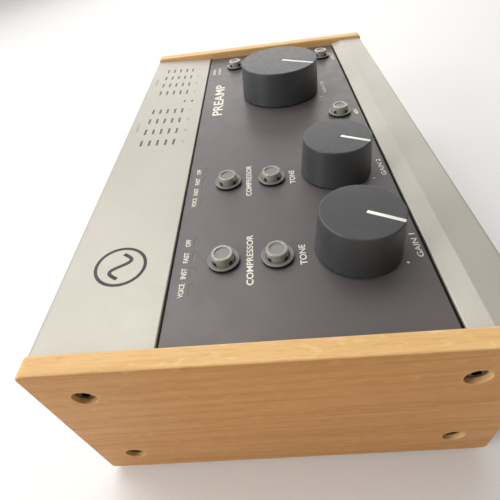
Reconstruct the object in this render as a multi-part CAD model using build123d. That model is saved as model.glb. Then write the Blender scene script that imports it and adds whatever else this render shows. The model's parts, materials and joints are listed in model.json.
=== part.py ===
from build123d import *
import math
import os

# Desktop two-channel microphone preamp with wooden end cheeks.
# Millimetres, +Z up, +X to the user's right, +Y to the rear.
# Origin: centre of the footprint, on the surface the rubber feet stand on.

# ---------------------------------------------------------------- dimensions
W_ALL = 222.0          # overall width over the cheeks
CHEEK_T = 6.0          # cheek thickness
X_IN = W_ALL / 2 - CHEEK_T          # inner face of a cheek
GAP_SIDE = 0.10        # assembly gap between metalwork and cheek
FOOT_H = 2.2           # the cheeks' bottom edge stands this high
TILT = 2.1             # slope of the cheek tops, degrees down to the front
Z_TOP = 69.4 + FOOT_H  # height of the cheek-top line over the origin
CHEEK = [(66.5, 0.0), (62.2, 71.7), (-65.4, 67.0), (-66.5, 0.0)]  # side outline
CHEEK_R = 2.2          # outline corner radius
CHEEK_EDGE = 0.7       # eased long edges

SHEET = 1.5            # cream sheet-metal thickness
A_U, A_N = 62.20, -1.46     # rear top edge of the deck (u along the slope, n above cheek-top line)
B_U, B_N = 28.72, -3.20     # front edge of the deck
C_U, C_N = -47.75, -2.97    # rear edge of the front strip
D_U, D_N = -53.55, -1.43    # crease of the front strip
E_U, E_N = -65.08, -1.53    # front top edge
WALL_FRONT_Y = -65.0       # outer face of the front wall
PLATE_N = -3.90            # top face of the control plate
PLATE_T = 1.2
PLATE_U0, PLATE_U1 = -47.35, 28.31
FRAME_T = 1.5              # black carrier under the plate
FRAME_N = PLATE_N - PLATE_T
BOARD_N = -14.0            # top face of the control circuit board
PCB_T = 1.6

X_CH1, X_CH2 = -72.7, -31.2        # channel columns
X_MON = 44.55
GAIN_U, MON_U = -28.47, -12.18
GAIN_RB, GAIN_RT, GAIN_H = 12.85, 12.0, 14.45
MON_RB, MON_RT, MON_H = 19.2, 18.5, 16.0
KNOB_GAP = 0.5
POINTER_DEG = 30.0     # pointer at minimum, from straight forward towards the left
POINTER_W = 1.25

BTN = {                # push buttons on the control plate: x, u
    "compressor_1": (X_CH1 - 1.4, 12.25),
    "tone_1": (X_CH1 - 1.4, -4.29),
    "compressor_2": (X_CH2 - 1.9, 12.25),
    "tone_2": (X_CH2 - 1.9, -4.29),
    "phantom": (14.1, -37.67),
    "direct": (87.35, -38.58),
    "meter": (86.95, 12.4),
}
CAP_R, CAP_TOP = 3.5, 4.0          # clear cap radius, height over the plate
BEZ_RO, BEZ_RI = 5.05, 3.65
BEZ_TOP = 1.30                     # top of the grey ring over the plate
PRESS = 1.2                        # button travel

MODE_DX = (-11.73, -5.11, 1.47, 8.04)   # mode windows beside each channel
MODE_U = 21.81
MODE_L, MODE_W = 4.4, 1.3
METER_X = (1.37, 11.8, 22.3, 32.7, 55.4, 66.0, 76.6, 87.25)
METER_U = (53.15, 49.45, 45.78, 42.04, 38.39)
METER_L, METER_W = 5.0, 1.2
METER_DOTS = ((43.65, 38.39), (43.45, 34.35))

TRAY_Z, TRAY_T = 2.7, 1.2
MB_Z = 9.0                         # underside of the main board
MB_TOP = MB_Z + PCB_T
CON_Z = 27.0                       # centre height of the front connectors
COMBO_X = (X_CH1, X_CH2)
INST_X = (X_CH1 + 20.5, X_CH2 + 20.5)
PHONES_KNOB_X, PHONES_JACK_X = 50.0, 82.0
PH_R, PH_H = 8.6, 12.0
PLUG_R = 3.25                      # bore for a 6.35 mm plug
FOOT_R = 8.0
FOOT_XY = ((-88, -48), (88, -48), (-88, 48), (88, 48))

os.makedirs("parts", exist_ok=True)
T = math.radians(TILT)
PANEL = Location((0, 0, Z_TOP), (TILT, 0, 0))
DECK_T = math.degrees(math.atan2(A_N - B_N, A_U - B_U))


def w(u, n):
    """Panel coordinates to world Y, Z."""
    return (u * math.cos(T) - n * math.sin(T), Z_TOP + u * math.sin(T) + n * math.cos(T))


DECK = Location((0,) + w(B_U, B_N), (TILT + DECK_T, 0, 0))   # local v along the deck


def v_of(u):
    return (u - B_U) / math.cos(math.radians(DECK_T))


def prism(pts, x0, x1):
    """Closed outline in world Y, Z, drawn out along X."""
    face = make_face(Polyline(*[(p[0], p[1]) for p in pts], close=True))
    return extrude(Plane.YZ.offset(x0) * face, amount=x1 - x0)


def box(x0, x1, y0, y1, z0, z1):
    return Pos((x0 + x1) / 2, (y0 + y1) / 2, (z0 + z1) / 2) * Box(abs(x1 - x0), abs(y1 - y0), abs(z1 - z0))


def cyl(r, z0, z1, x=0.0, y=0.0, r2=None):
    if r2 is None:
        return Pos(x, y, (z0 + z1) / 2) * Cylinder(r, z1 - z0)
    return Pos(x, y, (z0 + z1) / 2) * Cone(r, r2, z1 - z0)


def cyl_y(r, y0, y1, x, z):
    """Cylinder along Y."""
    return Pos(x, (y0 + y1) / 2, z) * Rot(90, 0, 0) * Cylinder(r, abs(y1 - y0))


def cyl_x(r, x0, x1, y, z):
    """Cylinder along X."""
    return Pos((x0 + x1) / 2, y, z) * Rot(0, 90, 0) * Cylinder(r, abs(x1 - x0))


def hexa(af, z0, z1, x=0.0, y=0.0):
    return Pos(x, y, z0) * extrude(RegularPolygon(af / 2, 6, major_radius=False), amount=z1 - z0)


def stadium(length, width, z0, z1, x=0.0, y=0.0):
    return Pos(x, y, z0) * extrude(SlotOverall(length, width), amount=z1 - z0)


def back_y(z):
    """Outer face of the leaning rear wall at height z."""
    (ya, za), yb, zb = w(A_U, A_N), 65.05, TRAY_Z + TRAY_T
    return ya + (za - z) / (za - zb) * (yb - ya)


LINE_Z = MB_TOP + 8.5
# the design is drawn about the cheeks' middle; this puts the origin under the
# middle of everything, from the phones knob in front to the rear jacks
Y_SHIFT = ((PH_H - WALL_FRONT_Y) - (back_y(LINE_Z) + 3.6)) / 2


def save(name, shape):
    solids = []
    for s in (shape if isinstance(shape, (list, tuple)) else [shape]):
        solids += list(s.solids())
    solids = [Pos(0, Y_SHIFT, 0) * s for s in solids]
    out = solids[0] if len(solids) == 1 else Compound(children=solids)
    out.label = name
    export_step(out, f"parts/{name}.step")


def on_panel(s):
    return PANEL * s


# ---------------------------------------------------------------- cheeks
UP_SCREWS = [(49.3, -13.2), (-50.5, -13.2)]          # panel u, n
LO_SCREWS = [(52.3, FOOT_H + 13.7), (-52.9, FOOT_H + 13.7)]  # world y, z
SCREW_YZ = [w(*p) for p in UP_SCREWS] + LO_SCREWS


def cheek(side):
    x0 = X_IN if side > 0 else -X_IN - CHEEK_T
    s = prism([(p[0], p[1] + FOOT_H) for p in CHEEK], x0, x0 + CHEEK_T)
    s = fillet(s.edges().filter_by(Axis.X), CHEEK_R)
    ends = s.faces().filter_by(Axis.X)
    s = fillet(ends.edges(), CHEEK_EDGE)
    for (y, z) in SCREW_YZ:
        s -= cyl_x(1.7, side * (X_IN - 1), side * (X_IN + CHEEK_T + 1), y, z)
        s -= cyl_x(3.5, side * (X_IN + 2.8), side * (X_IN + CHEEK_T + 1), y, z)
    return s


save("left_cheek", cheek(-1))
save("right_cheek", cheek(1))


def screw_x(side, y, z):
    """Pan-head hex-socket screw, head in the cheek's counterbore."""
    head = cyl(3.1, 0, 2.1)
    head = fillet(head.edges().group_by(Axis.Z)[-1], 0.9)
    head -= hexa(2.5, 0.9, 3.0)
    sh = cyl(1.5, -9.2, 0.0)
    s = head + sh
    s = Pos(side * (X_IN + 2.8), y, z) * Rot(0, 90 * side, 0) * s
    return s


save("cheek_screws", [screw_x(sd, y, z) for sd in (-1, 1) for (y, z) in SCREW_YZ])

# ---------------------------------------------------------------- cream shells
XS = X_IN - GAP_SIDE


def bent(pts, t, side):
    """Bent sheet of thickness t on one side of an open outer line of Y, Z points."""
    n = len(pts)
    inner = []
    for i in range(n):
        dirs = []
        if i > 0:
            dirs.append((pts[i][0] - pts[i - 1][0], pts[i][1] - pts[i - 1][1]))
        if i < n - 1:
            dirs.append((pts[i + 1][0] - pts[i][0], pts[i + 1][1] - pts[i][1]))
        norms = []
        for d in dirs:
            length = math.hypot(*d)
            norms.append((-d[1] / length * side, d[0] / length * side))
        if len(norms) == 1:
            inner.append((pts[i][0] + norms[0][0] * t, pts[i][1] + norms[0][1] * t))
        else:
            bx, by = norms[0][0] + norms[1][0], norms[0][1] + norms[1][1]
            k = 2 * t / (bx * bx + by * by)
            inner.append((pts[i][0] + bx * k, pts[i][1] + by * k))
    return pts + inner[::-1]


Z_TRAY_TOP = TRAY_Z + TRAY_T
rear_pts = [w(B_U, B_N), w(A_U, A_N), (back_y(Z_TRAY_TOP), Z_TRAY_TOP), (back_y(Z_TRAY_TOP) - 9.0, Z_TRAY_TOP)]
rear = prism(bent(rear_pts, SHEET, -1), -XS, XS)


def along_x_at(shape, y, z, tol=0.4):
    """The edges along X that pass through a Y, Z point."""
    return [e for e in shape.edges().filter_by(Axis.X)
            if abs(e.center().Y - y) < tol and abs(e.center().Z - z) < tol]


rear = fillet(along_x_at(rear, *w(A_U, A_N)), 1.3)
rear = fillet(along_x_at(rear, *w(B_U, B_N)), 0.35)
rear = fillet(along_x_at(rear, back_y(Z_TRAY_TOP), Z_TRAY_TOP), 1.0)

front_pts = [w(C_U, C_N), w(D_U, D_N), w(E_U, E_N), (WALL_FRONT_Y, Z_TRAY_TOP), (WALL_FRONT_Y + 9.0, Z_TRAY_TOP)]
front_pts[2] = (WALL_FRONT_Y, w(E_U, E_N)[1])
front = prism(bent(front_pts, SHEET, 1), -XS, XS)
front = fillet(along_x_at(front, *front_pts[2]), 1.4)
front = fillet(along_x_at(front, *w(D_U, D_N)), 1.0)
front = fillet(along_x_at(front, *w(C_U, C_N)), 0.35)
front = fillet(along_x_at(front, WALL_FRONT_Y, Z_TRAY_TOP), 1.0)

# meter windows in the deck
for mx in METER_X:
    for mu in METER_U:
        rear -= DECK * Pos(mx, v_of(mu), -1) * Box(METER_L, METER_W, 4)
for mx, mu in METER_DOTS:
    rear -= DECK * Pos(mx, v_of(mu), -1) * Box(2.4, METER_W, 4)

# rear connector positions
LINE_X = (56.0, 84.0)
MIDI_X = (-12.0, 16.0)
MIDI_Z = MB_TOP + 10.5
USB_X, USB_Z = -44.0, MB_TOP + 1.75
DC_X, DC_Z = -88.0, MB_TOP + 6.2
SW_X, SW_Z = -66.0, 30.0
SW_W, SW_H = 12.6, 18.6

for lx in LINE_X:
    rear -= cyl_y(4.9, 50, 70, lx, LINE_Z)
for mx in MIDI_X:
    rear -= cyl_y(8.0, 50, 70, mx, MIDI_Z)
rear -= Pos(USB_X, 62, USB_Z) * Rot(90, 0, 0) * extrude(SlotOverall(9.8, 4.1), amount=8, both=True)
rear -= cyl_y(4.0, 50, 70, DC_X, DC_Z)
LEAN = math.degrees(math.atan2(65.05 - w(A_U, A_N)[0], w(A_U, A_N)[1] - Z_TRAY_TOP))
SW_LOC = Location((SW_X, back_y(SW_Z), SW_Z), (LEAN, 0, 0))   # local y points out of the rear wall
rear -= SW_LOC * Box(SW_W, 10, SW_H)

# front connector openings
for cx in COMBO_X:
    front -= cyl_y(12.1, -70, -58, cx, CON_Z)
for ix in INST_X:
    front -= cyl_y(3.8, -70, -58, ix, CON_Z)
front -= cyl_y(4.9, -70, -58, PHONES_JACK_X, CON_Z)
front -= cyl_y(3.7, -70, -58, PHONES_KNOB_X, CON_Z)

# case screws: from below, through the tray into the shells' bottom flanges
CASE_XY = [(x, y) for x in (-80.0, 0.0, 80.0) for y in (WALL_FRONT_Y + 5.4, back_y(Z_TRAY_TOP) - 5.4)]
for (x, y) in CASE_XY:
    c = cyl(1.5, 0, 12, x, y)
    rear -= c
    front -= c
save("rear_shell", rear)
save("front_shell", front)

# ---------------------------------------------------------------- base tray
tray = box(-XS, XS, WALL_FRONT_Y + 0.4, 64.4, TRAY_Z, Z_TRAY_TOP)
for sd in (-1, 1):
    tray += box(sd * (XS - TRAY_T), sd * XS, -58.0, 57.6, Z_TRAY_TOP + SHEET + 0.3, 26.0)
    tray += box(sd * (XS - TRAY_T), sd * XS, -55.0, 55.6, TRAY_Z, Z_TRAY_TOP + SHEET + 0.3)
for (x, y) in CASE_XY:
    tray -= cyl(1.7, 0, 12, x, y)
for sd in (-1, 1):
    for (y, z) in LO_SCREWS:
        tray += cyl_x(3.2, sd * (XS - TRAY_T - 2.6), sd * (XS - 0.6), y, z)
        tray -= cyl_x(1.5, sd * (XS - 8), sd * (XS + 1), y, z)
STAND_XY = [(x, y) for x in (-92.0, 0.0, 92.0) for y in (-26.0, 24.0)]
for (x, y) in STAND_XY:
    tray -= cyl(1.5, 0, 12, x, y)
# cooling slots under the power section
for i in range(7):
    tray -= Pos(-60 + 20 * i, 4, 3) * Box(12, 2.4, 8)
save("base_tray", tray)


def pan_screw(length, r_head=2.8, h_head=1.7):
    head = cyl(r_head, 0, h_head)
    head = fillet(head.edges().group_by(Axis.Z)[-1], 0.7)
    cross = Pos(0, 0, h_head) * (Box(2.6, 0.7, 1.6) + Box(0.7, 2.6, 1.6))
    return (head - cross) + cyl(1.5, -length, 0)


save("case_screws", [Pos(x, y, TRAY_Z) * Rot(180, 0, 0) * pan_screw(4.2) for (x, y) in CASE_XY])

feet = []
for (x, y) in FOOT_XY:
    f = cyl(FOOT_R, 0, TRAY_Z, x, y)
    f = fillet(f.edges().group_by(Axis.Z)[0], 0.7)
    feet.append(f)
save("rubber_feet", feet)

# ---------------------------------------------------------------- carrier and control plate
FR_BOT = FRAME_N - FRAME_T
carrier = box(-XS, XS, -51.0, 33.0, FR_BOT, FRAME_N)
for sd in (-1, 1):
    carrier += box(sd * (XS - 1.2), sd * XS, -57.0, 55.5, -21.5, FRAME_N - 0.3)
    for (u, n) in UP_SCREWS:
        c = cyl_x(3.2, sd * (XS - 3.8), sd * (XS - 0.6), u, n)
        carrier += c
        carrier -= cyl_x(1.5, sd * (XS - 8), sd * (XS + 1), u, n)
plate = box(-XS + 0.1, XS - 0.1, PLATE_U0, PLATE_U1, FRAME_N, PLATE_N)
plate = fillet(plate.edges().filter_by(Axis.X).group_by(Axis.Z)[-1], 0.3)
POTS = [(X_CH1, GAIN_U), (X_CH2, GAIN_U), (X_MON, MON_U)]
for (x, u) in POTS:
    carrier -= cyl(3.6, FR_BOT - 1, 0, x, u)
    plate -= cyl(6.6, FRAME_N - 1, 0, x, u)
for (x, u) in BTN.values():
    carrier -= cyl(4.05, FR_BOT - 1, 0, x, u)
    plate -= cyl(4.0, FRAME_N - 1, 0, x, u)
MODES = [(cx + d, MODE_U) for cx in (X_CH1, X_CH2) for d in MODE_DX]
for (x, u) in MODES:
    carrier -= Pos(x, u, -4) * Box(MODE_L + 0.2, MODE_W + 0.2, 6)
    plate -= Pos(x, u, -4) * Box(MODE_L, MODE_W, 6)
save("control_carrier", on_panel(carrier))
save("control_plate", on_panel(plate))

# ---------------------------------------------------------------- windows
save("mode_lenses", [on_panel(Pos(x, u, (PLATE_N - 0.05 - 6.4) / 2) * Box(MODE_L - 0.1, MODE_W - 0.1, 6.4 - 0.05 + PLATE_N))
                     for (x, u) in MODES])
meter = [DECK * Pos(x, v_of(u), -2.05) * Box(METER_L - 0.1, METER_W - 0.1, 3.9) for x in METER_X for u in METER_U]
meter += [DECK * Pos(x, v_of(u), -2.05) * Box(2.3, METER_W - 0.1, 3.9) for (x, u) in METER_DOTS]
save("meter_lenses", meter)

# ---------------------------------------------------------------- button bezels
bez, gas = [], []
for (x, u) in BTN.values():
    top = PLATE_N + BEZ_TOP
    ring = cyl(BEZ_RO, top - 0.42, top, x, u)
    ring = fillet(ring.edges().group_by(Axis.Z)[-1], 0.15)
    ring += cyl(3.88, PLATE_N - 2.1, top - 0.2, x, u)
    ring -= cyl(BEZ_RI, -12, 6, x, u)
    bez.append(on_panel(ring))
    g = cyl(BEZ_RO - 0.07, PLATE_N, top - 0.42, x, u) - cyl(3.95, -12, 6, x, u)
    gas.append(on_panel(g))
save("button_bezels", bez)
save("bezel_gaskets", gas)

# ---------------------------------------------------------------- push buttons
for name, (x, u) in BTN.items():
    top = PLATE_N + CAP_TOP
    cap = cyl(CAP_R, PLATE_N - 0.9, top)
    cap = fillet(cap.edges().group_by(Axis.Z)[-1], 0.55)
    cap -= cyl(2.28, -12, top - 0.45)
    save(f"{name}_cap", on_panel(Pos(x, u, 0) * cap))
    core = cyl(2.28, FR_BOT - 0.3, top - 0.45) + cyl(4.6, FR_BOT - 1.3, FR_BOT - 0.3) + cyl(1.6, -10.6, FR_BOT - 1.3)
    save(f"{name}_plunger", on_panel(Pos(x, u, 0) * core))


# ---------------------------------------------------------------- rotary controls
def knob(rb, rt, h, lip, deg, boss_top_gap=2.4):
    """Hollow tapered knob standing on z = 0, bore for a D shaft, pointer groove on top."""
    k = cyl(rb, KNOB_GAP, h, r2=rt)
    k = fillet(k.edges().group_by(Axis.Z)[-1], lip)
    k -= cyl(rb - 2.0, -1, h - boss_top_gap, r2=rt - 2.0)
    k += cyl(4.6, 3.4, h - boss_top_gap + 0.2)
    a = math.radians(deg)
    r0, r1 = 0.10 * rt, rt + 1.0
    mid = (r0 + r1) / 2
    k -= Pos(-math.sin(a) * mid, -math.cos(a) * mid, h) * Rot(0, 0, -deg) * Box(POINTER_W, r1 - r0, 0.5)
    return k


def d_shaft(z0, z1, flat_from):
    s = cyl(3.0, z0, z1)
    s -= box(-4, 4, 1.9, 5, flat_from, z1 + 1)
    return s


SHAFT_Z0 = -13.2 - PLATE_N      # shaft foot, over the plate's top face
KNOBS = {"gain_1": (X_CH1, GAIN_U, GAIN_RB, GAIN_RT, GAIN_H),
         "gain_2": (X_CH2, GAIN_U, GAIN_RB, GAIN_RT, GAIN_H),
         "monitor": (X_MON, MON_U, MON_RB, MON_RT, MON_H)}
for name, (x, u, rb, rt, h) in KNOBS.items():
    sh = d_shaft(SHAFT_Z0, h - 3.4, 3.4)
    kn = knob(rb, rt, h, 0.5, POINTER_DEG) - d_shaft(SHAFT_Z0, h - 3.4, 3.4)
    loc = PANEL * Pos(x, u, PLATE_N)
    save(f"{name}_knob", loc * kn)
    save(f"{name}_shaft", loc * sh)

# potentiometers: body under the carrier, bushing through it, hex nut on top
pots, nuts = [], []
for (x, u) in POTS:
    b = box(-5.6, 5.6, -6.2, 6.2, BOARD_N + 0.02, FR_BOT) + cyl(3.5, FR_BOT - 1, PLATE_N + 2.4)
    b -= cyl(3.06, -13.6, 4)
    pots.append(on_panel(Pos(x, u, 0) * b))
    nuts.append(on_panel(Pos(x, u, 0) * (hexa(10.0, FRAME_N, FRAME_N + 2.0) - cyl(3.52, -8, 2))))
# phones level control on the front wall, its body on the main board
PH_IN = WALL_FRONT_Y + SHEET
pb = box(PHONES_KNOB_X - 5.6, PHONES_KNOB_X + 5.6, PH_IN, PH_IN + 8.4, MB_TOP, CON_Z + 6.2)
pb += cyl_y(3.5, WALL_FRONT_Y - 4.2, PH_IN + 1, PHONES_KNOB_X, CON_Z)
pb -= cyl_y(3.06, WALL_FRONT_Y - 6, PH_IN + 7.8, PHONES_KNOB_X, CON_Z)
pots.append(pb)
FRONT = Location((PHONES_KNOB_X, WALL_FRONT_Y, CON_Z), (90, 0, 0))   # local z points out of the front
nuts.append(FRONT * (hexa(10.0, 0.0, 2.0) - cyl(3.52, -8, 6)))
ph = cyl(PH_R, 0.5, PH_H, r2=PH_R - 0.5)
ph = fillet(ph.edges().group_by(Axis.Z)[-1], 0.5)
ph -= cyl(PH_R - 1.8, -1, PH_H - 2.4, r2=PH_R - 2.2)
ph += cyl(4.6, 4.8, PH_H - 2.2)
PH_LOC = FRONT * Location((0, 0, 0), (0, 0, 0))
ph_sh = d_shaft(-8.6, PH_H - 3.4, 4.8)
a = math.radians(POINTER_DEG)
ph -= Pos(-math.sin(a) * 5.2, -math.cos(a) * 5.2, PH_H) * Rot(0, 0, -POINTER_DEG) * Box(1.0, 8.0, 0.5)
ph -= ph_sh
save("phones_knob", PH_LOC * ph)
save("phones_shaft", PH_LOC * ph_sh)
save("pot_bodies", pots)
save("pot_nuts", nuts)

# ---------------------------------------------------------------- control board and its parts
cb = box(-98, 98, -50.0, 24.0, BOARD_N - PCB_T, BOARD_N)
for (x, u) in ((-94, -46), (94, -46), (-94, 20), (94, 20), (12, 20), (-12, -46)):
    cb -= cyl(1.6, -30, 0, x, u)
save("control_board", on_panel(cb))
CB_POST = [(-94, -46), (94, -46), (-94, 20), (94, 20), (12, 20), (-12, -46)]
spacers = [on_panel(cyl(2.9, BOARD_N, FR_BOT, x, u) - cyl(1.5, BOARD_N - 1, BOARD_N + 5, x, u)) for (x, u) in CB_POST]
sw = []
for (x, u) in BTN.values():
    s = box(-3.1, 3.1, -3.1, 3.1, BOARD_N, -9.6) - cyl(1.75, -12.6, 0)
    sw.append(on_panel(Pos(x, u, 0) * s))
leds = [on_panel(Pos(x, u, BOARD_N + 0.5) * Box(3.0, 1.4, 1.0)) for (x, u) in MODES]
leds += [DECK * Pos(x, v_of(u), -5.2) * Box(3.0, 1.4, 1.0) for x in METER_X for u in METER_U]
leds += [DECK * Pos(x, v_of(u), -5.2) * Box(1.6, 1.4, 1.0) for (x, u) in METER_DOTS]
save("indicator_leds", leds)
mtb = DECK * box(-8, 92, v_of(35.5) - 4, v_of(56), -7.3, -5.7)
save("meter_board", mtb)

# ---------------------------------------------------------------- main board
mb = box(-99, 99, -60.0, 58.0, MB_Z, MB_TOP)
for (x, y) in STAND_XY:
    mb -= cyl(1.6, 0, 20, x, y)
save("main_board", mb)
spacers += [hexa(5.5, Z_TRAY_TOP, MB_Z, x, y) - cyl(1.5, 0, 20, x, y) for (x, y) in STAND_XY]
save("board_spacers", spacers)
bs = [Pos(x, y, MB_TOP) * pan_screw(5.2) for (x, y) in STAND_XY]
bs += [on_panel(Pos(x, u, BOARD_N - PCB_T) * Rot(180, 0, 0) * pan_screw(5.6)) for (x, u) in CB_POST]
save("board_screws", bs)
can = box(-70, -18, -22, 22, MB_TOP, MB_TOP + 6.5)
can = fillet(can.edges().filter_by(Axis.Z), 1.5)
can -= box(-69.6, -18.4, -21.6, 21.6, MB_TOP - 1, MB_TOP + 6.1)
save("shield_can", can)
caps = []
for (x, y) in ((34, 12), (46, 12), (58, 12), (34, -6), (46, -6), (-84, 20), (-84, 6), (74, -2)):
    c = cyl(4.0, MB_TOP, MB_TOP + 11.5, x, y)
    c = fillet(c.edges().group_by(Axis.Z)[-1], 0.5)
    caps.append(c)
save("capacitors", caps)

# flat cable from the control board down to the main board, with its two headers
hy, hz = w(6.0, BOARD_N - PCB_T)
hdr_top = on_panel(Pos(0, 6.0, BOARD_N - PCB_T - 3.2) * Box(30, 5.4, 6.4))
hdr_bot = box(-15, 15, -15.7, -10.3, MB_TOP, MB_TOP + 6.4)
save("cable_headers", [hdr_top, hdr_bot])
y1, z1 = w(6.0, BOARD_N - PCB_T - 6.4)
path = FilletPolyline((y1, z1 - 0.08), (y1, z1 - 13.0), (-13.0, MB_TOP + 17.0), (-13.0, MB_TOP + 6.42), radius=6.5)
band = trace(path, line_width=0.9)
ribbon = extrude(Plane.YZ.offset(-12.7) * band, amount=25.4)
save("flat_cable", ribbon)

# ---------------------------------------------------------------- combo input jacks
inputs = []
for cx in COMBO_X:
    j = box(cx - 13.5, cx + 13.5, PH_IN, PH_IN + 31.0, MB_TOP, CON_Z + 15.0)
    j += cyl_y(11.9, WALL_FRONT_Y - 0.6, PH_IN + 1, cx, CON_Z)
    # groove for a round plug shell, around a central insert
    groove = cyl_y(9.75, WALL_FRONT_Y - 2, WALL_FRONT_Y + 15, cx, CON_Z) - cyl_y(7.7, WALL_FRONT_Y - 3, WALL_FRONT_Y + 16, cx, CON_Z)
    j -= groove
    # key slot at the top of the groove
    j -= box(cx - 1.4, cx + 1.4, WALL_FRONT_Y - 2, WALL_FRONT_Y + 15, CON_Z + 8.6, CON_Z + 11.0)
    # bore for a 6.35 mm plug and three pin sockets
    j -= cyl_y(PLUG_R, WALL_FRONT_Y - 2, PH_IN + 30.0, cx, CON_Z)
    for ang in (-90, 30, 150):
        px = cx + 5.4 * math.cos(math.radians(ang))
        pz = CON_Z + 5.4 * math.sin(math.radians(ang))
        j -= cyl_y(1.3, WALL_FRONT_Y - 2, WALL_FRONT_Y + 15, px, pz)
    inputs.append(j)
save("input_jacks", inputs)

# ---------------------------------------------------------------- quarter-inch jacks and their nuts
jacks, jnuts = [], []
jp = box(PHONES_JACK_X - 8, PHONES_JACK_X + 8, PH_IN, PH_IN + 31, MB_TOP, CON_Z + 8.5)
jp += cyl_y(4.6, WALL_FRONT_Y - 3.0, PH_IN + 1, PHONES_JACK_X, CON_Z)
jp -= cyl_y(PLUG_R, WALL_FRONT_Y - 4, PH_IN + 30, PHONES_JACK_X, CON_Z)
jacks.append(jp)
ring = Cylinder(6.3, 2.2) - Cylinder(4.64, 4)
ring = fillet(ring.edges().filter_by(GeomType.CIRCLE).group_by(Axis.Z)[-1].sort_by(SortBy.RADIUS)[-1], 0.5)
jnuts.append(Pos(PHONES_JACK_X, WALL_FRONT_Y - 1.1, CON_Z) * Rot(90, 0, 0) * ring)
yb = back_y(LINE_Z)
for lx in LINE_X:
    jk = box(lx - 8, lx + 8, yb - 33.0, yb - 2.4, MB_TOP, LINE_Z + 8.5)
    jk += cyl_y(4.6, yb - 3.0, yb + 3.6, lx, LINE_Z)
    jk -= cyl_y(PLUG_R, yb - 32.0, yb + 5, lx, LINE_Z)
    jacks.append(jk)
    jnuts.append(Pos(lx, yb + 1.6, LINE_Z) * Rot(-90, 0, 0) * ring)
save("plug_jacks", jacks)
save("jack_nuts", jnuts)

# ---------------------------------------------------------------- MIDI sockets: housings and their round inserts
midi, inserts = [], []
ym = back_y(MIDI_Z)
for mx in MIDI_X:
    m = box(mx - 10, mx + 10, ym - 15.4, ym - 2.4, MB_TOP, MIDI_Z + 10)
    m += cyl_y(7.8, ym - 3, ym + 0.6, mx, MIDI_Z)
    m -= cyl_y(7.1, ym - 9, ym + 3, mx, MIDI_Z)
    midi.append(m)
    core = cyl_y(5.9, ym - 9, ym + 0.3, mx, MIDI_Z)
    for ang in (180, 225, 270, 315, 360):
        px = mx + 4.3 * math.cos(math.radians(ang))
        pz = MIDI_Z + 4.3 * math.sin(math.radians(ang))
        core -= cyl_y(0.8, ym - 8, ym + 3, px, pz)
    inserts.append(core)
save("midi_sockets", midi)
save("midi_inserts", inserts)

# ---------------------------------------------------------------- USB and power inlets
yu = back_y(USB_Z)
usb = Pos(USB_X, yu + 0.2, USB_Z) * Rot(90, 0, 0) * (
    extrude(SlotOverall(9.0, 3.3), amount=9.0)
    - extrude(SlotOverall(8.4, 2.7), amount=6.2)
    + Pos(0, 0, 3.6) * Box(6.7, 0.7, 5.4))
save("usb_socket", usb)
yd = back_y(DC_Z)
dc = box(DC_X - 4.6, DC_X + 4.6, yd - 13.5, yd - 2.3, MB_TOP, DC_Z + 5.4)
dc += cyl_y(3.85, yd - 2, yd + 0.3, DC_X, DC_Z)
dc -= cyl_y(2.95, yd - 10, yd + 2, DC_X, DC_Z)
dc += cyl_y(1.0, yd - 10.5, yd - 0.8, DC_X, DC_Z)
save("dc_socket", dc)

# ---------------------------------------------------------------- power switch
CAV_W, CAV_H = 10.8, 16.8
PIV_Y = -0.2
ROCK = 9.0                      # half of the rocker's swing
body = box(-SW_W / 2 + 0.1, SW_W / 2 - 0.1, -14.0, 0.5, -SW_H / 2 + 0.1, SW_H / 2 - 0.1)
flange = box(-7.6, 7.6, 0.0, 1.6, -10.6, 10.6)
flange = fillet(flange.edges().filter_by(Axis.Y), 1.2)
flange = fillet(flange.faces().sort_by(Axis.Y)[-1].edges(), 0.5)
body += flange
body -= box(-CAV_W / 2, CAV_W / 2, -8.0, 3.0, -CAV_H / 2, CAV_H / 2)
body -= cyl_x(1.05, -6.1, 6.1, PIV_Y, 0)
save("power_switch_body", SW_LOC * body)
rk = prism([(-2.2, -5.6), (2.6, -7.7), (1.5, 0.0), (2.6, 7.7), (-2.2, 5.6)], -5.1, 5.1)
rk = fillet([e for e in rk.edges().filter_by(Axis.X) if abs(e.center().Z) > 7], 0.5)
rk += cyl_x(1.0, -6.0, 6.0, 0, 0)
save("power_rocker", SW_LOC * Pos(0, PIV_Y, 0) * Rot(-ROCK, 0, 0) * rk)

# ---------------------------------------------------------------- instrument buttons on the front wall
inst_sw = []
for i, ix in enumerate(INST_X):
    s = box(ix - 4.5, ix + 4.5, PH_IN + 3.6, PH_IN + 13.6, MB_TOP, CON_Z + 4.5)
    s -= box(ix - 1.6, ix + 1.6, PH_IN + 2, PH_IN + 10.0, CON_Z - 1.6, CON_Z + 1.6)
    inst_sw.append(s)
    loc = Location((ix, WALL_FRONT_Y, CON_Z), (90, 0, 0))
    b = cyl(3.5, -3.2, 2.4)
    b = fillet(b.edges().group_by(Axis.Z)[-1], 0.4)
    b += Pos(0, 0, -6.0) * Box(2.8, 2.8, 6.4)
    save(f"instrument_{i + 1}_button", loc * b)
save("button_switches", sw + inst_sw)

print("nodes", len(os.listdir("parts")), "shift", round(Y_SHIFT, 4), "lean", round(LEAN, 4))
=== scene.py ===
import json
import math

import bmesh
import bpy
from mathutils import Matrix, Vector


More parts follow.
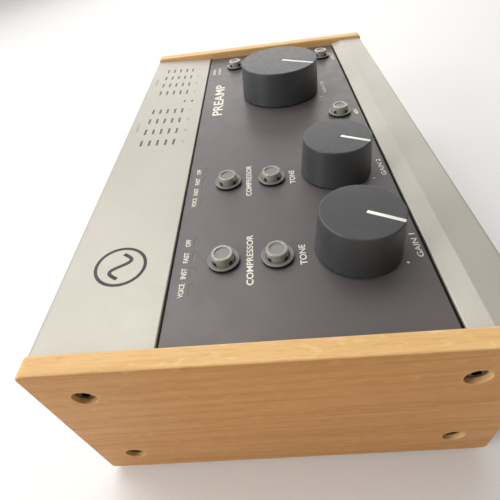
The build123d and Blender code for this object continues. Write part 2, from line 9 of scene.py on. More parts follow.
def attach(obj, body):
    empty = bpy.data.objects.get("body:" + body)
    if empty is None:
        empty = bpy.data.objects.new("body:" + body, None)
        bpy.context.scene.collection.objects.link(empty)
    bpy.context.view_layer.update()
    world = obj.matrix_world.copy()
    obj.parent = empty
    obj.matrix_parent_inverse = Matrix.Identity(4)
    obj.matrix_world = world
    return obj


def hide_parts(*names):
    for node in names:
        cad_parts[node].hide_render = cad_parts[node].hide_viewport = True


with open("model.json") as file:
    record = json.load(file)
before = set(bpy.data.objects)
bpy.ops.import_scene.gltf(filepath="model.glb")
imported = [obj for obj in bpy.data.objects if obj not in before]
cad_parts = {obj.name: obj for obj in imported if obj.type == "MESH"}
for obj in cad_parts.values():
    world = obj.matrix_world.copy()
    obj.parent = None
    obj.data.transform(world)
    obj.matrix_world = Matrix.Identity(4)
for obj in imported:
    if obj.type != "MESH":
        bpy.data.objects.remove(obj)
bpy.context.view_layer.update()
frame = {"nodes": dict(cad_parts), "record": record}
nodes = frame["nodes"]
rec = frame["record"]
MM = 0.001
scene = bpy.context.scene


def srgb(r, g, b):
    out = []
    for c in (r, g, b):
        c /= 255.0
        out.append(c / 12.92 if c <= 0.04045 else ((c + 0.055) / 1.055) ** 2.4)
    return tuple(out) + (1.0,)


# ------------------------------------------------------------ frames of reference
J = {j["name"]: j for j in rec["behaviour"]["joints"]}
EX = Vector((1, 0, 0))
EN = -Vector(J["gain_1_turn"]["axis"]).normalized()
EU = EN.cross(EX).normalized()
P0 = Vector(J["gain_1_turn"]["pos_m"])
X1, U1, N1 = P0.x / MM, -28.47, -3.90
PLATE = -3.90
TILT = math.atan2(EU.z, EU.y)


def P(x, u, n=PLATE):
    return P0 + EX * ((x - X1) * MM) + EU * ((u - U1) * MM) + EN * ((n - N1) * MM)


def axes(x, y, z, origin):
    m = Matrix((x, y, z)).transposed().to_4x4()
    m.translation = origin
    return m


def sx(x):
    return 1.0115 * x + 1.770


def su(u):
    return 1.0115 * u + 0.058


def panel(x, u, n=PLATE):
    """Frame on the control plate at a drawing point x, u."""
    return axes(EX, EU, EN, P(sx(x), su(u), n))


A_U, A_N, B_U, B_N = 62.20, -1.46, 28.72, -3.20
DT = math.atan2(A_N - B_N, A_U - B_U)
EV = EU * math.cos(DT) + EN * math.sin(DT)
EW = EN * math.cos(DT) - EU * math.sin(DT)


def deck(x, u, up=0.0):
    o = P(sx(x), B_U, B_N) + EV * ((su(u) - B_U) / math.cos(DT) * MM) + EW * (up * MM)
    return axes(EX, EV, EW, o)


SHIFT = P0.y - (U1 * math.cos(TILT) - N1 * math.sin(TILT)) * MM
FRONT_Y = -65.0 * MM + SHIFT
A_Y = A_U * math.cos(TILT) - A_N * math.sin(TILT)
A_Z = 71.6 + A_U * math.sin(TILT) + A_N * math.cos(TILT)
LEAN = math.atan2(65.05 - A_Y, A_Z - 3.9)


def front(x, z, out=0.0):
    return axes(EX, Vector((0, 0, 1)), Vector((0, -1, 0)), Vector((x * MM, FRONT_Y - out * MM, z * MM)))


def back_y(z):
    return A_Y + (A_Z - z) / (A_Z - 3.9) * (65.05 - A_Y)


def rear(x, z, out=0.0):
    up = Vector((0, -math.sin(LEAN), math.cos(LEAN)))
    nrm = Vector((0, math.cos(LEAN), math.sin(LEAN)))
    return axes(Vector((-1, 0, 0)), up, nrm, Vector((x * MM, back_y(z) * MM + SHIFT, z * MM)) + nrm * (out * MM))


# ------------------------------------------------------------ materials
class G:
    """A node tree with short calls."""

    def __init__(self, name):
        self.m = bpy.data.materials.new(name)
        self.m.use_nodes = True
        self.t = self.m.node_tree
        self.b = next(n for n in self.t.nodes if n.type == "BSDF_PRINCIPLED")
        self.tc = self.t.nodes.new("ShaderNodeTexCoord")

    def put(self, n, sock, val):
        s = n.inputs[sock]
        if isinstance(val, bpy.types.NodeSocket):
            self.t.links.new(val, s)
        else:
            s.default_value = val

    def noise(self, scale, stretch=(1, 1, 1), detail=4.0, rough=0.5, dist=0.0, off=(0, 0, 0)):
        mp = self.t.nodes.new("ShaderNodeMapping")
        self.t.links.new(self.tc.outputs["Object"], mp.inputs["Vector"])
        mp.inputs["Scale"].default_value = stretch
        mp.inputs["Location"].default_value = off
        n = self.t.nodes.new("ShaderNodeTexNoise")
        self.t.links.new(mp.outputs["Vector"], n.inputs["Vector"])
        n.inputs["Scale"].default_value = scale
        n.inputs["Detail"].default_value = detail
        n.inputs["Roughness"].default_value = rough
        n.inputs["Distortion"].default_value = dist
        return n.outputs["Fac"]

    def ramp(self, v, a, b, lo=0.0, hi=1.0):
        n = self.t.nodes.new("ShaderNodeMapRange")
        n.interpolation_type = "SMOOTHSTEP"
        self.put(n, "Value", v)
        n.inputs["From Min"].default_value = a
        n.inputs["From Max"].default_value = b
        n.inputs["To Min"].default_value = lo
        n.inputs["To Max"].default_value = hi
        return n.outputs["Result"]

    def mix(self, fac, a, b, mode="MIX"):
        n = self.t.nodes.new("ShaderNodeMix")
        n.data_type = "RGBA"
        n.blend_type = mode
        self.put(n, 0, fac)
        self.put(n, 6, a)
        self.put(n, 7, b)
        return n.outputs[2]

    def math(self, op, a, b=0.0):
        n = self.t.nodes.new("ShaderNodeMath")
        n.operation = op
        self.put(n, 0, a)
        self.put(n, 1, b)
        return n.outputs[0]

    def edge(self, radius):
        """1 on edges and 0 on flats: the mask for painted light along rounded edges."""
        bv = self.t.nodes.new("ShaderNodeBevel")
        bv.samples = 4
        bv.inputs["Radius"].default_value = radius * MM
        ge = self.t.nodes.new("ShaderNodeNewGeometry")
        d = self.t.nodes.new("ShaderNodeVectorMath")
        d.operation = "DOT_PRODUCT"
        self.t.links.new(bv.outputs["Normal"], d.inputs[0])
        self.t.links.new(ge.outputs["Normal"], d.inputs[1])
        return self.ramp(d.outputs["Value"], 0.995, 0.86)

    def bump(self, height, strength, dist, normal=None):
        n = self.t.nodes.new("ShaderNodeBump")
        n.inputs["Strength"].default_value = strength
        n.inputs["Distance"].default_value = dist * MM
        self.put(n, "Height", height)
        if normal is not None:
            self.put(n, "Normal", normal)
        return n.outputs["Normal"]


def surface(name, col, col2=None, rough=0.5, rvar=0.06, metal=0.0, broad=45.0, fine=2500.0,
            grain=0.15, depth=0.03, speck=0.10, edge=None, edge_r=0.25, coat=0.0, coat_rough=0.15, spec=0.5,
            stretch=(1, 1, 1)):
    """Painted, plated or moulded surface: broad tone change, fine speckle, rough patches, bump, and painted light on
    the rounded edges (a painted highlight where the edge colour is lighter, a painted shade line where it is darker).
    """
    g = G(name)
    c2 = col2 or tuple(min(1.0, v * 1.18) for v in col[:3]) + (1.0,)
    b = g.noise(broad, detail=5.0, rough=0.55)
    f = g.noise(fine, stretch=stretch, detail=2.0, rough=0.6, off=(0.3, 0.1, 0.7))
    colour = g.mix(g.ramp(b, 0.35, 0.68), col, c2)
    dark = tuple(v * (1 - 2.2 * speck) for v in col[:3]) + (1.0,)
    colour = g.mix(g.ramp(f, 0.50, 0.72, 0.0, 0.55 if speck else 0.0), colour, dark)
    light = tuple(min(1.0, v * (1 + 2.5 * speck)) for v in c2[:3]) + (1.0,)
    colour = g.mix(g.ramp(f, 0.46, 0.30, 0.0, 0.55 if speck else 0.0), colour, light)
    # painted light on the rounded edges: the edge colour is mixed in through a bevel mask, broken up by noise
    if edge is not None:
        e = g.math("MULTIPLY", g.edge(edge_r), g.ramp(g.noise(600.0, off=(1, 2, 3)), 0.35, 0.6, 0.35, 1.0))
        colour = g.mix(e, colour, edge)
    g.put(g.b, "Base Color", colour)
    g.put(g.b, "Roughness", g.ramp(g.noise(broad * 7, detail=6.0, off=(5, 1, 2)), 0.3, 0.7, rough - rvar, rough + rvar))
    g.put(g.b, "Normal", g.bump(f, grain, depth))
    g.b.inputs["Metallic"].default_value = metal
    g.b.inputs["Specular IOR Level"].default_value = spec
    g.b.inputs["Coat Weight"].default_value = coat
    g.b.inputs["Coat Roughness"].default_value = coat_rough
    return g.m


def maple(name, off, outer):
    """Pale hardwood, grain along Y: soft bands, long streaks, short pores, end grain on the ends."""
    g = G(name)
    pale, mid, deep = srgb(243, 203, 144), srgb(234, 186, 120), srgb(196, 138, 76)
    band = g.noise(38.0, stretch=(1, 0.10, 1), detail=3.0, dist=0.3, off=off)
    streak = g.noise(430.0, stretch=(1.2, 0.035, 1), detail=6.0, rough=0.62, dist=0.2, off=off)
    fibre = g.noise(2300.0, stretch=(1, 0.06, 1), detail=4.0, rough=0.65, off=off)
    pore = g.noise(900.0, stretch=(1, 0.11, 1), detail=2.0, rough=0.5, off=(off[0] + 3, off[1], off[2]))
    fleck = g.noise(620.0, stretch=(1, 0.34, 0.9), detail=3.0, off=(off[0], off[1] + 7, off[2]))
    c = g.mix(g.ramp(band, 0.30, 0.72, 0.25, 0.85), pale, mid)
    c = g.mix(g.ramp(streak, 0.42, 0.74, 0.0, 0.30), c, deep)
    c = g.mix(g.ramp(fleck, 0.56, 0.70, 0.0, 0.50), c, srgb(250, 216, 162))
    c = g.mix(g.ramp(fibre, 0.48, 0.72, 0.0, 0.34), c, deep)
    c = g.mix(g.ramp(pore, 0.66, 0.76, 0.0, 0.26), c, srgb(164, 112, 60))
    knot = g.noise(55.0, stretch=(1, 0.5, 1.6), detail=3.0, off=(off[0] + 11, off[1], off[2] + 2))
    c = g.mix(g.ramp(knot, 0.80, 0.84, 0.0, 0.25), c, srgb(148, 98, 54))
    # a painted highlight along the cheeks' rounded edges, made patchy with the flecks
    e = g.math("MULTIPLY", g.edge(0.9), g.ramp(fleck, 0.3, 0.6, 0.6, 1.0))
    c = g.mix(e, c, srgb(252, 226, 182))
    # painted shade: the broad outer side face is multiplied darker and more orange than the top and edges, for the side
    # the light does not reach
    sp = g.t.nodes.new("ShaderNodeSeparateXYZ")
    g.t.links.new(g.tc.outputs["Normal"], sp.inputs[0])
    painted_side_shade = g.ramp(g.math("MULTIPLY", sp.outputs["X"], outer), 0.55, 0.95)
    c = g.mix(painted_side_shade, c, g.mix(1.0, c, (0.74, 0.56, 0.38, 1), "MULTIPLY"))
    g.put(g.b, "Base Color", c)
    g.put(g.b, "Roughness", g.ramp(streak, 0.3, 0.7, 0.40, 0.56))
    h = g.math("ADD", fibre, g.math("MULTIPLY", pore, -0.8))
    g.put(g.b, "Normal", g.bump(h, 0.32, 0.06))
    g.b.inputs["Specular IOR Level"].default_value = 0.30
    return g.m


def acrylic(name):
    g = G(name)
    n = g.noise(900.0, detail=3.0)
    c = g.mix(g.ramp(n, 0.3, 0.7), (0.70, 0.67, 0.58, 1), (0.76, 0.72, 0.63, 1))
    # a painted highlight: the cap's rounded rim is mixed to bright cream
    g.put(g.b, "Base Color", g.mix(g.math("MULTIPLY", g.edge(0.34), 0.9), c, (1.0, 0.96, 0.84, 1)))
    g.put(g.b, "Roughness", g.ramp(g.noise(2600.0, detail=3.0, off=(2, 2, 2)), 0.3, 0.7, 0.07, 0.13))
    g.put(g.b, "Normal", g.bump(g.noise(420.0, detail=1.0, off=(4, 0, 4)), 0.04, 0.03))
    g.b.inputs["Transmission Weight"].default_value = 0.55
    g.b.inputs["IOR"].default_value = 1.49
    g.b.inputs["Specular IOR Level"].default_value = 0.62
    g.b.inputs["Coat Weight"].default_value = 0.3
    g.b.inputs["Coat Roughness"].default_value = 0.05
    return g.m


def brushed(name, col, rough, scratch=(1, 1, 0.04), edge=None):
    return surface(name, col, rough=rough, metal=1.0, fine=1800.0, grain=0.22, depth=0.02, speck=0.06,
                   stretch=scratch, edge=edge, broad=80.0)


# the edge colours below are painted light on rounded edges: lighter ones are painted highlights, the darker mode_lens
# one is a painted shade line
M = {
    "maple_l": maple("maple_left", (0.0, 0.0, 0.0), -1.0),
    "maple_r": maple("maple_right", (2.3, 0.7, 1.1), 1.0),
    # bright edge colour: a painted highlight line along the sheet-metal edges
    "cream_metal": surface("champagne_metal", srgb(184, 180, 169), srgb(188, 184, 174), rough=0.40, rvar=0.02, metal=0.22,
                           broad=30.0, fine=3600.0, grain=0.30, depth=0.05, speck=0.055, edge=srgb(250, 244, 228), edge_r=0.45),
    # lighter edge colour: a painted highlight along the plate's edges
    "dark_plate": surface("dark_plate", srgb(94, 88, 89), srgb(98, 92, 92), rough=0.40, rvar=0.04, broad=22.0, fine=5200.0,
                          grain=0.16, depth=0.02, speck=0.05, edge=srgb(128, 118, 112), edge_r=0.25, spec=0.55),
    "black_steel": surface("black_steel", srgb(24, 24, 25), rough=0.55, fine=2200.0, grain=0.4, depth=0.05, speck=0.15,
                           edge=srgb(70, 70, 72)),
    # lighter edge colour: a painted rim highlight on the knob tops
    "knob_plastic": surface("knob_satin", srgb(66, 67, 70), srgb(71, 72, 75), rough=0.40, rvar=0.05, broad=70.0, fine=6000.0,
                            grain=0.22, depth=0.02, speck=0.07, edge=srgb(132, 131, 128), edge_r=0.40, spec=0.5),
    "bright_steel": brushed("plated_steel", srgb(196, 196, 198), 0.28),
    # the bright edge colour on the dark screw heads is a painted glint
    "chrome_screw": surface("screw_black_nickel", srgb(46, 43, 41), srgb(58, 55, 52), rough=0.20, rvar=0.05, metal=1.0, fine=1800.0, grain=0.12,
                            depth=0.02, speck=0.08, edge=srgb(226, 222, 214), edge_r=0.18),
    "black_screw": surface("black_zinc", srgb(40, 40, 42), rough=0.35, metal=0.7, speck=0.1, edge=srgb(120, 118, 116)),
    "clear_acrylic": acrylic("cap_acrylic"),
    # lighter edge colour: a painted highlight on the bezel lips
    "grey_plastic": surface("grey_satin", srgb(128, 128, 127), srgb(138, 138, 136), rough=0.38, fine=3500.0, grain=0.15,
                            depth=0.02, speck=0.06, edge=srgb(176, 176, 172), edge_r=0.2),
    "head_grey": surface("head_grey", srgb(102, 102, 98), srgb(110, 110, 105), rough=0.42, fine=3500.0, grain=0.12, depth=0.02,
                         speck=0.05),
    "black_rubber": surface("black_rubber", srgb(20, 20, 21), rough=0.78, rvar=0.08, fine=1800.0, grain=0.5, depth=0.06,
                            speck=0.2, spec=0.3),
    "circuit_board": surface("solder_mask", srgb(18, 74, 44), srgb(26, 92, 54), rough=0.3, fine=1200.0, grain=0.2, speck=0.12,
                             coat=0.3),
    "capacitor_sleeve": surface("sleeve", srgb(34, 34, 46), rough=0.25, speck=0.08, edge=srgb(150, 150, 150)),
    "smoked_lens": surface("smoked_lens", srgb(108, 101, 86), srgb(116, 108, 92), rough=0.45, fine=2600.0, grain=0.1,
                           speck=0.04, spec=0.3),
    # the darker edge colour is a painted shade line around each lens
    "mode_lens": surface("mode_lens", srgb(101, 97, 93), srgb(108, 104, 98), rough=0.34, fine=2600.0, grain=0.1, speck=0.10,
                         edge=srgb(56, 52, 51), edge_r=0.12, spec=0.4),
    "led_white": surface("led_resin", srgb(226, 222, 196), rough=0.2, speck=0.05),
    "cable_grey": surface("ribbon_grey", srgb(150, 150, 152), rough=0.5, stretch=(8, 0.2, 0.2), fine=900.0, grain=0.4),
    "light_button": surface("light_grey_cap", srgb(198, 193, 183), rough=0.36, fine=3000.0, grain=0.15, edge=srgb(224, 220, 212)),
    "pot_metal": brushed("pot_case", srgb(170, 168, 164), 0.36),
    "black_plastic": surface("black_nylon", srgb(28, 28, 29), rough=0.46, fine=2600.0, grain=0.35, depth=0.04, speck=0.12,
                             edge=srgb(72, 72, 74), edge_r=0.2),
    "ink_white": surface("ink_white", srgb(240, 236, 222), srgb(248, 245, 233), rough=0.5, speck=0.04, fine=4000.0),
    "ink_black": surface("ink_black", srgb(34, 33, 33), rough=0.5, speck=0.1, fine=4000.0),
    "ink_grey": surface("ink_grey", srgb(176, 169, 156), rough=0.55, speck=0.05, fine=4000.0),
    # near-white edge colour: a painted highlight on the pointer's edges
    "pointer": surface("pointer_white", srgb(246, 243, 232), srgb(252, 250, 242), rough=0.38, speck=0.03, fine=4000.0,
                       edge=srgb(255, 255, 250), edge_r=0.1),
    "gold": surface("contact_gold", srgb(222, 178, 96), rough=0.25, metal=1.0, speck=0.06),
}

slot_of = {s["node"]: s["material_slot"] for s in rec["subparts"]}


def dress(o, m):
    o.data.materials.clear()
    o.data.materials.append(m)


for name, o in nodes.items():
    key = slot_of[name]
    if name == "left_cheek":
        key = "maple_l"
    elif name == "right_cheek":
        key = "maple_r"
    elif name == "mode_lenses":
        key = "mode_lens"
    dress(o, M[key])
    o.data.shade_smooth()
    o.data.set_sharp_from_angle(angle=math.radians(32))


# ------------------------------------------------------------ mesh helpers
def finish_mesh(name, bm, mat, body, smooth=35.0):
    bmesh.ops.recalc_face_normals(bm, faces=bm.faces)
    me = bpy.data.meshes.new(name)
    bm.to_mesh(me)
    bm.free()
    o = bpy.data.objects.new(name, me)
    scene.collection.objects.link(o)
    me.shade_smooth()
    me.set_sharp_from_angle(angle=math.radians(smooth))
    dress(o, mat)
    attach(o, body)
    return o


def spin(bm, prof, m, seg=96):
    """Adds the solid that a closed (r, z) outline sweeps about local z, in mm. The outline may start and end on the axis."""
    rings = []
    for r, z in prof:
        if r < 1e-6:
            rings.append([bm.verts.new(m @ Vector((0, 0, z * MM)))])
        else:
            rings.append([bm.verts.new(m @ Vector((r * math.cos(2 * math.pi * i / seg) * MM, r * math.sin(2 * math.pi * i / seg) * MM, z * MM)))
                          for i in range(seg)])
    pairs = list(zip(rings[:-1], rings[1:]))
    if len(rings[0]) > 1:
        pairs.append((rings[-1], rings[0]))
    for a, b in pairs:
        for i in range(seg):
            k = (i + 1) % seg
            if len(a) == 1 and len(b) == 1:
                break
            if len(a) == 1:
                bm.faces.new((a[0], b[i], b[k]))
            elif len(b) == 1:
                bm.faces.new((a[i], a[k], b[0]))
            else:
                bm.faces.new((a[i], a[k], b[k], b[i]))


def arc(cr, cz, rad, a0, a1, n=6):
    return [(cr + rad * math.cos(math.radians(a0 + (a1 - a0) * i / n)), cz + rad * math.sin(math.radians(a0 + (a1 - a0) * i / n)))
            for i in range(n + 1)]


def slab(bm, m, cx, cy, lx, ly, z0, z1, bevel=0.0, rot=0.0, seg=2):
    """Adds a bar with eased edges: centre, size and height in mm in the local frame m."""
    r = Matrix.Rotation(rot, 4, "Z")
    t = Matrix.Translation(Vector((cx * MM, cy * MM, (z0 + z1) / 2 * MM)))
    made = bmesh.ops.create_cube(bm, size=1.0, matrix=m @ r @ t @ Matrix.Diagonal((lx * MM, ly * MM, (z1 - z0) * MM, 1)))
    if bevel:
        edges = {e for v in made["verts"] for e in v.link_edges}
        bmesh.ops.bevel(bm, geom=list(edges), offset=bevel * MM, segments=seg, affect="EDGES", profile=0.5)


def lettering(name, items, mat, body="chassis", thick=0.035):
    """items: (string, matrix at the text's middle, length, height) in mm. One thin closed printed solid for each letter."""
    out = bmesh.new()
    for s, m, length, height in items:
        cu = bpy.data.curves.new("letters", "FONT")
        cu.body = s
        cu.size = 1.0
        cu.resolution_u = 4
        cu.extrude = 0.5
        cu.offset = 0.016
        tmp = bpy.data.objects.new("letters", cu)
        scene.collection.objects.link(tmp)
        me = bpy.data.meshes.new_from_object(tmp.evaluated_get(bpy.context.evaluated_depsgraph_get()))
        bpy.data.objects.remove(tmp)
        xs = [v.co.x for v in me.vertices]
        ys = [v.co.y for v in me.vertices]
        x0, x1, y0, y1 = min(xs), max(xs), min(ys), max(ys)
        for v in me.vertices:
            v.co = m @ Vector((((v.co.x - x0) / (x1 - x0) - 0.5) * length * MM, ((v.co.y - y0) / (y1 - y0) - 0.5) * height * MM,
                               (thick if v.co.z > 0 else -0.02) * MM))
        out.from_mesh(me)
        bpy.data.meshes.remove(me)
    bmesh.ops.remove_doubles(out, verts=out.verts, dist=2e-7)
    return finish_mesh(name, out, mat, body, smooth=20)


# ------------------------------------------------------------ rotary knobs
def knob(node, body, m, rb, rt, h, lip, pointer_w, deg=30.0):
    top = h - 0.05
    slope = math.degrees(math.atan2(rb - rt, h))
    prof = [(0.0, top), (rt * 0.5, top), (rt - lip - 0.25, top)]
    prof += arc(rt - lip, top - lip, lip, 88, slope, 7)
    prof += [(rb - (rb - rt) * 0.45, h * 0.45), (rb - 0.02, 1.1)]
    prof += arc(rb - 0.3, 0.85, 0.3, 0, -90, 4)
    prof += [(rb - 1.9, 0.55), (rb - 2.0, 0.75), (rt - 2.0, h - 2.5), (4.6, h - 2.5), (4.6, 3.5), (3.1, 3.5), (3.1, h - 3.2), (0.0, h - 3.2)]
    bm = bmesh.new()
    spin(bm, prof, m, 144)
    o = finish_mesh(node + "_turned", bm, M["knob_plastic"], body, smooth=40)
    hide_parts(node)
    # the white line is a moulded inlay that lies just below the top
    bm = bmesh.new()
    r0, r1 = 0.11 * rt, rt - 0.22
    a = math.radians(deg)
    slab(bm, m, 0, -(r0 + r1) / 2, pointer_w, r1 - r0, top - 0.6, top + 0.035, bevel=0.12, rot=-a)
    finish_mesh(node + "_line", bm, M["pointer"], body, smooth=30)
    return o


for n_, rb, rt, h, pw in (("gain_1", 12.85, 12.0, 14.45, 1.28), ("gain_2", 12.85, 12.0, 14.45, 1.28), ("monitor", 19.2, 18.5, 16.0, 1.45)):
    o_ = Vector(J[n_ + "_turn"]["pos_m"])
    knob(n_ + "_knob", n_ + "_control", axes(EX, EU, EN, o_), rb, rt, h, 0.48, pw)
ph = Vector(J["phones_turn"]["pos_m"])
knob("phones_knob", "phones_control", axes(EX, Vector((0, 0, 1)), Vector((0, -1, 0)), ph), 8.6, 8.1, 12.0, 0.45, 1.0)

# ------------------------------------------------------------ push buttons
BTN = {"compressor_1": (-74.1, 12.25), "tone_1": (-74.1, -4.29), "compressor_2": (-33.1, 12.25), "tone_2": (-33.1, -4.29),
       "phantom": (14.1, -37.67), "direct": (87.35, -38.58), "meter": (86.95, 12.4)}
rings = bmesh.new()
seals = bmesh.new()
for n_, (x, u) in BTN.items():
    m = axes(EX, EU, EN, P(x, u))
    body = n_ + "_button"
    prof = [(2.31, -0.85), (2.31, 3.50)] + arc(2.57, 3.66, 0.26, 180, 90, 5)
    prof += arc(2.98, 3.42, 0.50, 90, 4, 9)
    prof += [(3.49, 1.2), (3.5, -0.85)]
    bm = bmesh.new()
    spin(bm, prof, m, 72)
    cap = finish_mesh(n_ + "_cap_clear", bm, M["clear_acrylic"], body, smooth=50)
    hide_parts(n_ + "_cap")
    # the plunger's flat head and its four dark snap feet show through and beside the clear cap
    bm = bmesh.new()
    spin(bm, [(0.0, 3.50), (1.7, 3.51), (2.12, 3.54), (2.24, 3.46), (2.285, 3.34), (2.285, 0.4), (0.0, 0.4)], m, 48)
    finish_mesh(n_ + "_head", bm, M["head_grey"], body, smooth=50)
    bm = bmesh.new()
    for k in range(4):
        slab(bm, m, 3.27, 0, 0.58, 1.3, 0.4, 2.35, bevel=0.10, rot=math.radians(45 + 90 * k))
    finish_mesh(n_ + "_feet", bm, M["black_plastic"], body, smooth=30)
    prof = [(3.66, -2.0)] + arc(3.80, 0.98, 0.14, 180, 90, 3) + [(4.15, 1.08), (4.42, 1.20)] + arc(4.74, 1.01, 0.285, 100, 0, 6)
    prof += [(5.02, 0.90), (3.90, 0.89), (3.88, -2.0)]
    spin(rings, prof, m, 80)
    spin(seals, [(3.97, 0.01), (3.97, 0.86), (4.9, 0.86), (4.98, 0.78), (4.98, 0.01)], m, 72)
o = finish_mesh("bezel_rings", rings, M["grey_plastic"], "chassis", smooth=50)
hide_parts("button_bezels")
o = finish_mesh("bezel_seals", seals, M["black_rubber"], "chassis", smooth=50)
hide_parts("bezel_gaskets")

# ------------------------------------------------------------ printed legends on the control plate
L = []
L.append(("GAIN 1", panel(-74.6, -44.9), 9.9, 1.8))
L.append(("GAIN 2", panel(-33.4, -44.7), 10.6, 1.8))
L.append(("MONITOR", panel(42.3, -34.0), 13.5, 1.9))
L.append(("48V", panel(12.0, -44.5), 5.4, 1.8))
L.append(("DIRECT", panel(83.0, -44.8), 11.0, 1.8))
L.append(("COMPRESSOR", panel(-74.8, 4.15), 21.0, 2.1))
L.append(("COMPRESSOR", panel(-33.8, 4.4), 19.6, 2.1))
L.append(("TONE", panel(-74.8, -11.8), 8.4, 2.1))
L.append(("TONE", panel(-34.3, -11.9), 8.4, 2.1))
for x_, t_, w_ in ((-85.3, "VOICE", 5.2), (-78.8, "INST", 4.3), (-72.2, "FAST", 4.5), (-65.7, "OFF", 3.4)):
    L.append((t_, panel(x_, 24.1), w_, 1.7))
    L.append((t_, panel(x_ + 40.7, 24.3), w_, 1.7))
L.append(("PREAMP", panel(41.5, 19.9), 37.0, 5.0))
L.append(("METER", panel(80.0, 24.6), 8.6, 1.4))
L.append(("SOURCE", panel(80.0, 21.6), 10.0, 1.4))
lettering("plate_legends", L, M["ink_white"])
bm = bmesh.new()
for x_, u_ in ((-81.2, -40.7), (-40.0, -40.7), (31.0, -31.7)):
    spin(bm, [(0.0, 0.035), (0.40, 0.035), (0.44, 0.0), (0.44, -0.02), (0.0, -0.02)], panel(x_, u_), 24)
finish_mesh("minimum_marks", bm, M["ink_white"], "chassis")

# ------------------------------------------------------------ printed legends on the deck
L = []
for x_, t_ in ((-0.4, "-30"), (9.9, "-20"), (20.3, "-10"), (30.6, "0"), (53.0, "-30"), (63.5, "-20"), (74.0, "-10"), (84.5, "0")):
    L.append((t_, deck(x_, 33.9), 3.0 if len(t_) > 1 else 1.2, 1.1))
L.append(("INPUT", deck(15.1, 57.0), 8.0, 1.3))
L.append(("OUTPUT", deck(68.7, 57.0), 9.0, 1.3))
lettering("deck_legends", L, M["ink_grey"])

# a plain round badge: a ring with one cycle of a sine wave
m = deck(-75.0, 44.0)
bm = bmesh.new()
spin(bm, [(7.15, -0.02), (7.15, 0.03), (8.2, 0.03), (8.2, -0.02)], m, 96)
N_W = 48
prev = None
first = None
for i in range(N_W + 1):
    s_ = i / N_W
    px = (s_ - 0.5) * 10.4
    py = 2.9 * math.sin(2 * math.pi * s_)
    dy = 2.9 * 2 * math.pi * math.cos(2 * math.pi * s_) / 10.4
    k = math.hypot(1, dy)
    nx, ny = -dy / k * 0.6, 1 / k * 0.6
    vs = [bm.verts.new(m @ Vector(((px + sx * nx) * MM, (py + sx * ny) * MM, z_ * MM))) for sx, z_ in ((1, 0.03), (-1, 0.03), (-1, -0.02), (1, -0.02))]
    if prev:
        for a_ in range(4):
            bm.faces.new((prev[a_], prev[(a_ + 1) % 4], vs[(a_ + 1) % 4], vs[a_]))
    else:
        bm.faces.new(vs[::-1])
    prev = vs
bm.faces.new(prev)
finish_mesh("wave_badge", bm, M["ink_black"], "chassis")

# ------------------------------------------------------------ front and rear legends
L = [("IN 1", front(-72.7, 45.5), 5.6, 1.9), ("IN 2", front(-31.2, 45.5), 5.6, 1.9), ("INST", front(-52.2, 34.5), 5.4, 1.6),
     ("INST", front(-10.7, 34.5), 5.4, 1.6), ("LEVEL", front(50.0, 39.5), 7.0, 1.7), ("PHONES", front(82.0, 39.5), 10.0, 1.7)]
lettering("front_legends", L, M["ink_black"])
L = [("OUT L", rear(56.0, 30.5), 7.4, 1.8), ("OUT R", rear(84.0, 30.5), 7.6, 1.8), ("MIDI IN", rear(-12.0, 35.0), 9.6, 1.8),
     ("MIDI OUT", rear(16.0, 35.0), 11.4, 1.8), ("USB", rear(-44.0, 18.5), 5.0, 1.8), ("12V DC", rear(-88.0, 26.0), 8.4, 1.8),
     ("POWER", rear(-66.0, 45.0), 8.6, 1.8)]
lettering("rear_legends", L, M["ink_black"])

# ------------------------------------------------------------ floor, light, camera
bm = bmesh.new()
bmesh.ops.create_grid(bm, x_segments=8, y_segments=8, size=2.5)
me = bpy.data.meshes.new("floor")
bm.to_mesh(me)
bm.free()
floor = bpy.data.objects.new("floor", me)
scene.collection.objects.link(floor)
dress(floor, surface("floor_paper", srgb(246, 246, 246), srgb(250, 250, 250), rough=0.7, speck=0.0, broad=3.0, fine=400.0, grain=0.02))

world = bpy.data.worlds.new("studio")
scene.world = world
world.use_nodes = True
wt = world.node_tree
bg = wt.nodes["Background"]
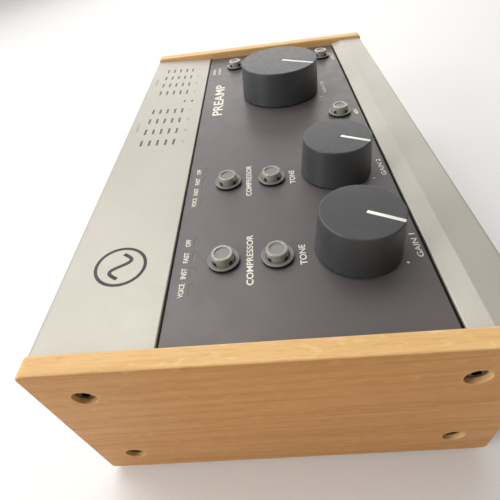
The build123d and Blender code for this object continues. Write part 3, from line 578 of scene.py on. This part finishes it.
# a soft room: bright behind, above and to the right, dim and warmer to the left and in front
tcw = wt.nodes.new("ShaderNodeTexCoord")
aim = wt.nodes.new("ShaderNodeVectorMath")
aim.operation = "DOT_PRODUCT"
wt.links.new(tcw.outputs["Generated"], aim.inputs[0])
aim.inputs[1].default_value = (0.62, 0.66, 0.42)
side = wt.nodes.new("ShaderNodeMapRange")
side.interpolation_type = "SMOOTHSTEP"
wt.links.new(aim.outputs["Value"], side.inputs["Value"])
side.inputs["From Min"].default_value = -0.75
side.inputs["From Max"].default_value = 0.70
side.inputs["To Min"].default_value = 0.10
side.inputs["To Max"].default_value = 0.57
wt.links.new(side.outputs["Result"], bg.inputs["Strength"])
tint = wt.nodes.new("ShaderNodeMix")
tint.data_type = "RGBA"
warm = wt.nodes.new("ShaderNodeMapRange")
wt.links.new(aim.outputs["Value"], warm.inputs["Value"])
warm.inputs["From Min"].default_value = -0.8
warm.inputs["From Max"].default_value = 0.3
wt.links.new(warm.outputs["Result"], tint.inputs[0])
tint.inputs[6].default_value = (1.0, 0.88, 0.74, 1)
tint.inputs[7].default_value = (1.0, 0.99, 0.975, 1)
wt.links.new(tint.outputs[2], bg.inputs["Color"])


def area(name, loc, aim, size, power, colour=(1, 1, 1)):
    li = bpy.data.lights.new(name, "AREA")
    li.shape = "RECTANGLE"
    li.size, li.size_y = size
    li.energy = power
    li.color = colour
    o = bpy.data.objects.new(name, li)
    scene.collection.objects.link(o)
    o.location = loc
    o.rotation_euler = (Vector(aim) - Vector(loc)).to_track_quat("-Z", "Y").to_euler()
    return o


area("key", (0.34, 0.34, 0.80), (0.0, 0.0, 0.04), (0.75, 0.65), 4.7, (1.0, 0.99, 0.97))
area("far_fill", (1.00, -0.15, 0.40), (0.0, 0.0, 0.05), (1.1, 0.5), 2.8, (1.0, 0.97, 0.93))
area("window", (-0.42, 0.72, 0.42), (0.0, 0.0, 0.06), (0.30, 0.40), 3.3, (1.0, 0.99, 0.97))

t = math.radians(-8.63)
eX = Vector((-0.00370937, -0.70941647, 0.70477976))
y0 = Vector((-0.99999312, 0.0026315, -0.0026143))
z0 = Vector((0.0, -0.70478461, -0.70942135))
eY = math.cos(t) * y0 + math.sin(t) * z0
eZ = -math.sin(t) * y0 + math.cos(t) * z0
cam_data = bpy.data.cameras.new("camera")
cam_data.lens = 27.36
cam_data.sensor_width = 36.0
cam_data.clip_start = 0.005
cam = bpy.data.objects.new("camera", cam_data)
scene.collection.objects.link(cam)
right = Vector((eX.x, eY.x, eZ.x))
up = -Vector((eX.y, eY.y, eZ.y))
backw = -Vector((eX.z, eY.z, eZ.z))
cm = Matrix((right, up, backw)).transposed().to_4x4()
cm.translation = Vector((-153.94, -8.0, 151.3)) * MM + Vector((0, SHIFT, 0))
cam.matrix_world = cm
scene.camera = cam
scene.view_settings.view_transform = "Standard"
scene.view_settings.look = "None"
